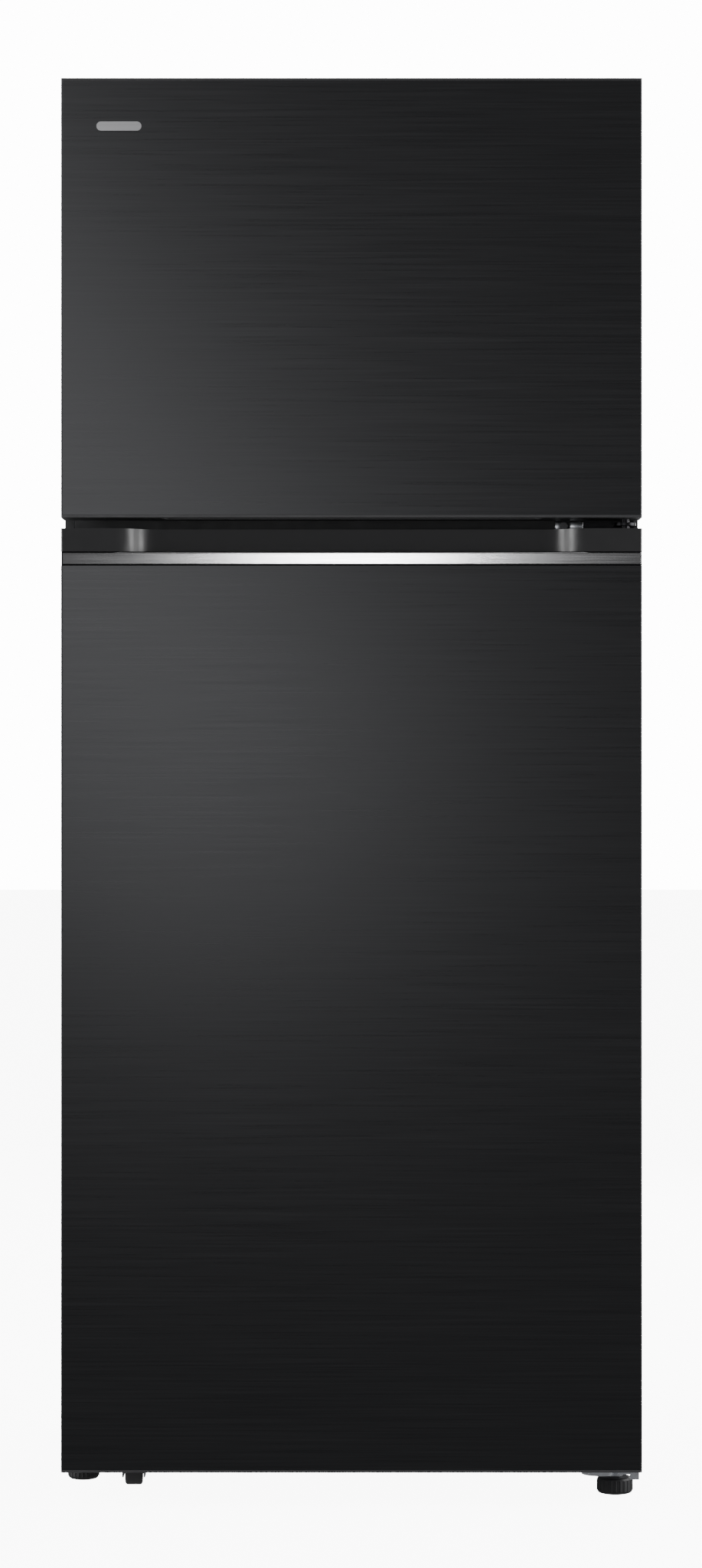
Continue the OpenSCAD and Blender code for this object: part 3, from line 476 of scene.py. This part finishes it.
# crisper drawer: tub, front plate with a turned rim, and handle
low, high = node_box("crisper_drawer")
front = low[1] + 6
crisper = Shape()
tub(crisper, low[0] + 2, high[0] - 2, front + 7.2, high[1], low[2], high[2], 3, r=14, draft=7, foot=12)
crisper.upright([(rounded(low[0] + 1.2, high[0] - 1.2, low[2] + 3, high[2], 10), front + 7.4),
                 (rounded(low[0] + 0.3, high[0] - 0.3, low[2] + 2, high[2], 10), front + 6.6),
                 (rounded(low[0] + 0.3, high[0] - 0.3, low[2] + 2, high[2], 10), front + 2.2),
                 (rounded(low[0] + 1, high[0] - 1, low[2] + 2.7, high[2] - 0.7, 9.5), front + 0.9),
                 (rounded(low[0] + 3, high[0] - 3, low[2] + 4.7, high[2] - 2.7, 8), front + 0.2),
                 (rounded(low[0] + 12, high[0] - 12, low[2] + 14, high[2] - 12, 6), front + 0.2),
                 (rounded(low[0] + 14, high[0] - 14, low[2] + 16, high[2] - 14, 5), front + 1.6)])
crisper.bar((-112, low[1], 283), (112, front + 1, 291), 1.6, "x")
crisper.make("crisper_drawer_tub", CLEAR, "crisper_drawer", "clear_plastic", ["crisper_drawer"])

low, high = node_box("chill_drawer")
chill = Shape()
tub(chill, -180, 180, low[1] + 6, high[1], low[2], high[2], 2.5, r=10, draft=4, foot=8)
for side in (-1, 1):
    chill.bar((min(side * 179, side * 195), low[1] + 21, high[2] - 6.7),
              (max(side * 179, side * 195), high[1] - 1, high[2] - 4), 0.8, "y")
chill.bar((-62, low[1], high[2] - 12.5), (62, low[1] + 9, high[2] - 7.5), 1.4, "x")
chill.make("chill_drawer_tub", CLEAR, "chill_drawer", "clear_plastic", ["chill_drawer"])

low, high = node_box("ice_bin")
ice = Shape()
tub(ice, low[0], high[0], low[1] + 8, high[1], low[2], high[2], 2.5, r=8, draft=3, foot=7)
ice.bar((-240, low[1], low[2] + 57), (-180, low[1] + 12, low[2] + 62.5), 1.4, "x")
ice.make("ice_bin_tub", CLEAR, "ice_bin", "clear_plastic", ["ice_bin"])


def door_bins(name, node, body, bins):
    """Clear bins with a thick front rail and two fine lines in the front wall."""
    low, high = node_box(node)
    shape = Shape()
    for z, h, front_edge in bins:
        tub(shape, low[0], high[0], low[1] + 0.4, front_edge, z, z + h, 2.5, r=12, draft=3, lip=1.2, foot=9)
        shape.bar((low[0], front_edge - 4.2, z + h - 9), (high[0], front_edge + 3, z + h + 3), 2.2, "x")
        for level in (z + h * 0.28, z + h * 0.36):
            shape.bar((low[0] + 26, front_edge - 3.4, level),
                      (high[0] - 26, front_edge - 0.4, level + 1.6), 0.6, "x")
    return shape.make(name, CLEAR, body, "clear_plastic", [node])


door_bins("freezer_door_bin_set", "freezer_door_bins", "freezer_door", [(1268, 74, -196), (1450, 74, -196)])
door_bins("fridge_door_bin_set", "fridge_door_bins", "fridge_door",
          [(146, 130, -170), (480, 100, -178), (820, 90, -186)])


def gasket(name, node, body):
    """Magnetic seal: a flat foot, a bellows and a rounded magnet bead, swept round the door."""
    low, high = node_box(node)
    back, face = low[1] + 0.05, high[1] - 0.05
    span = face - back
    profile = [(1.5, 0), (20.5, 0), (21.5, 0.12), (20.6, 0.26), (17.4, 0.34), (17.2, 0.46), (20.2, 0.56),
               (21.2, 0.68), (20.8, 0.9), (19.4, 1), (3.4, 1), (1.0, 0.92), (0.1, 0.72), (0.6, 0.54),
               (3.6, 0.44), (3.5, 0.32), (0.6, 0.22), (0.2, 0.08)]
    rings = [(rounded(low[0] + u, high[0] - u, low[2] + u, high[2] - u, 26 - u * 0.6), back + v * span)
             for u, v in profile]
    return Shape().upright(rings, closed=True).make(name, GASKET, body, "gasket_rubber", [node], 50)


gasket("freezer_door_seal", "freezer_door_gasket", "freezer_door")
gasket("fridge_door_seal", "fridge_door_gasket", "fridge_door")


def door_liner(name, node, body, half, d0, d1, ribs):
    """Vacuum-formed inner panel: flat border, a rounded dike, and a recessed field with ribs."""
    low, high = node_box(node)
    back, crest = low[1], high[1]
    flat_y = back + 2.0
    rings = [(rounded(low[0], high[0], low[2], high[2], 3), back),
             (rounded(low[0], high[0], low[2], high[2], 3), flat_y - 0.4),
             (rounded(low[0] + 0.4, high[0] - 0.4, low[2] + 0.4, high[2] - 0.4, 3), flat_y)]
    x, z0, z1 = half + 2, d0 - 2, d1 + 2

    def ring(inset, y, r):
        rings.append((rounded(-x + inset, x - inset, z0 + inset, z1 - inset, r), y))

    ring(-3.5, flat_y, 24)
    ring(-1.2, flat_y + 0.8, 23)
    ring(0, flat_y + 3.5, 22)
    for a in arc(5):
        ring(1 + 10 * (1 - math.cos(a)), crest - 10 * (1 - math.sin(a)), 21 - 5 * (1 - math.cos(a)))
    for a in arc(5, 90, 0):
        ring(27 - 10 * (1 - math.cos(a)), crest - 10 * (1 - math.sin(a)), 12 + 3 * (1 - math.cos(a)))
    ring(28, flat_y + 7, 11)
    ring(29.2, flat_y + 2.4, 10)
    ring(33, flat_y + 0.2, 8)
    shape = Shape().upright(rings)
    for z in ribs:
        for side in (-1, 1):
            shape.bar((min(side * (x - 32), side * (x - 25)), flat_y - 0.5, z),
                      (max(side * (x - 32), side * (x - 25)), crest - 12, z + 9), 2.2, "y")
    return shape.make(name, LINER, body, "liner_plastic", [node], 50)


door_liner("freezer_door_inner", "freezer_door_liner", "freezer_door", 279, 1240, 1622, (1352, 1534))
door_liner("fridge_door_inner", "fridge_door_liner", "fridge_door", 287, 118, 1124, (280, 584, 914))


def door_core(name, node, body):
    """Foam slab inside a door, kept clear of the rounded inner panel."""
    low, high = node_box(node)
    back = node_box(node.replace("_foam", "_liner"))[0][1] - 0.3
    x0, x1, z0, z1 = low[0] + 0.4, high[0] - 0.4, low[2] + 0.4, high[2] - 0.4
    return Shape().upright([(rounded(x0 + 1, x1 - 1, z0, z1, 2), low[1] + 0.3),
                            (rounded(x0, x1, z0, z1, 2), low[1] + 2.5),
                            (rounded(x0, x1, z0, z1, 2), back)]).make(name, FOAM, body, "foam", [node])


door_core("freezer_door_core", "freezer_door_foam", "freezer_door")
door_core("fridge_door_core", "fridge_door_foam", "fridge_door")


def cavity(name, node, half, z0, z1, back, front_y, flange, hump, ledges, ledge_end):
    """Vacuum-formed cabinet liner: flange, rounded mouth, smooth walls, and a raised floor over the hump."""
    r = 16
    rings = [(rounded(flange[0], flange[1], flange[2], flange[3], 4), front_y),
             (rounded(-half - 3, half + 3, z0 - 3, z1 + 3, r + 3), front_y),
             (rounded(-half - 1, half + 1, z0 - 1, z1 + 1, r + 1), front_y + 0.7),
             (rounded(-half, half, z0, z1, r), front_y + 3)]
    if hump:
        at, rise = hump
        rings.append((rounded(-half, half, z0, z1, r), at - 22))
        for a in arc(5, 0, 85):
            rings.append((rounded(-half, half, z0 + 14 * (1 - math.cos(a)), z1, r),
                          at - 14 + 14 * math.sin(a)))
        for a in arc(4, 0, 90):
            rings.append((rounded(-half, half, rise - 6 * (1 - math.sin(a)), z1, r),
                          at + 0.3 + 6 * (1 - math.cos(a))))
        z0 = rise
    for a in arc(5):
        inset = 14 * (1 - math.cos(a))
        rings.append((rounded(-half + inset, half - inset, z0 + inset, z1 - inset, r),
                      back - 14 + 14 * math.sin(a)))
    shape = Shape().upright(rings, ends=(False, True))
    for z in ledges:
        for side in (-1, 1):
            shape.bar((min(side * (half - 8), side * (half + 1)), -134, z - 8),
                      (max(side * (half - 8), side * (half + 1)), ledge_end, z), 2.4, "y")
    return shape.make(name, LINER, "cabinet", "liner_plastic", [node], 50)


low, high = node_box("fridge_liner")
cavity("fridge_cavity", "fridge_liner", 305, 100, 1146, 280, low[1], (low[0], high[0], 59, 1165), (135, 300),
       (800, 560, 336), 252)
low, high = node_box("freezer_liner")
cavity("freezer_cavity", "freezer_liner", 297, 1222, 1640, 275, low[1], (low[0], high[0], 1203, high[2]),
       None, (1428,), 190)

# runners the crisper slides on
RUNNER_X = 235
RUNNER_HALF_WIDTH = 5
rails = Shape()
for side in (-1, 1):
    rails.bar((side * RUNNER_X - RUNNER_HALF_WIDTH, -140, 98),
              (side * RUNNER_X + RUNNER_HALF_WIDTH, 127, 103.7), 1.6, "y")
rails.make("crisper_runners", WHITE_PLASTIC, "cabinet", "liner_plastic")

# plated hexagon of the right levelling foot, chamfered at both ends
low, high = node_box("foot_right")
hexagon = Shape()
foot_x, foot_y = (low[0] + high[0]) / 2, (low[1] + high[1]) / 2
hexagon.flat([([(foot_x + k * math.cos(math.radians(60 * i)), foot_y + k * math.sin(math.radians(60 * i)))
                for i in range(6)], z) for k, z in ((9.4, 21.1), (10.1, 21.7), (10.1, 26.4), (9.4, 27.0))])
hexagon.make("foot_right_hexagon", PLATED, "foot_right", "zinc_steel")

# two small plated plates on the middle hinge, seen in the gap between the doors
bracket = Shape()
bracket.bar((248.2, -272.4, 1178.5), (256.5, -269.5, 1190.5), 1.2, "z")
bracket.bar((266.4, -277.9, 1179.4), (282.4, -275.2, 1189.6), 0.9, "z")
bracket.make("middle_hinge_bracket", PLATED, "cabinet", "hinge_steel")

# ---------------------------------------------------------------- floor

floor_mesh = bpy.data.meshes.new("floor")
reach = 30.0
floor_mesh.from_pydata([(-reach, -reach, 0), (reach, -reach, 0), (reach, reach, 0), (-reach, reach, 0)],
                       [], [(0, 1, 2, 3)])
floor = bpy.data.objects.new("floor", floor_mesh)
floor_mat = new_material("floor_white", (0.93, 0.93, 0.93), 0.75)
shader = floor_mat.node_tree.nodes["Principled BSDF"]
shader.inputs["Emission Color"].default_value = (1, 1, 1, 1)
floor_path = floor_mat.node_tree.nodes.new("ShaderNodeLightPath")
floor_glow = floor_mat.node_tree.nodes.new("ShaderNodeMapRange")
floor_glow.inputs["To Min"].default_value = FLOOR_GLOW_UNSEEN
floor_glow.inputs["To Max"].default_value = FLOOR_GLOW_SEEN
floor_mat.node_tree.links.new(floor_path.outputs["Is Camera Ray"], floor_glow.inputs["Value"])
floor_mat.node_tree.links.new(floor_glow.outputs["Result"], shader.inputs["Emission Strength"])
bump(floor_mat, noise(floor_mat, 4), 0.02, 0.001)
floor.data.materials.append(floor_mat)
floor.visible_glossy = False
scene.collection.objects.link(floor)
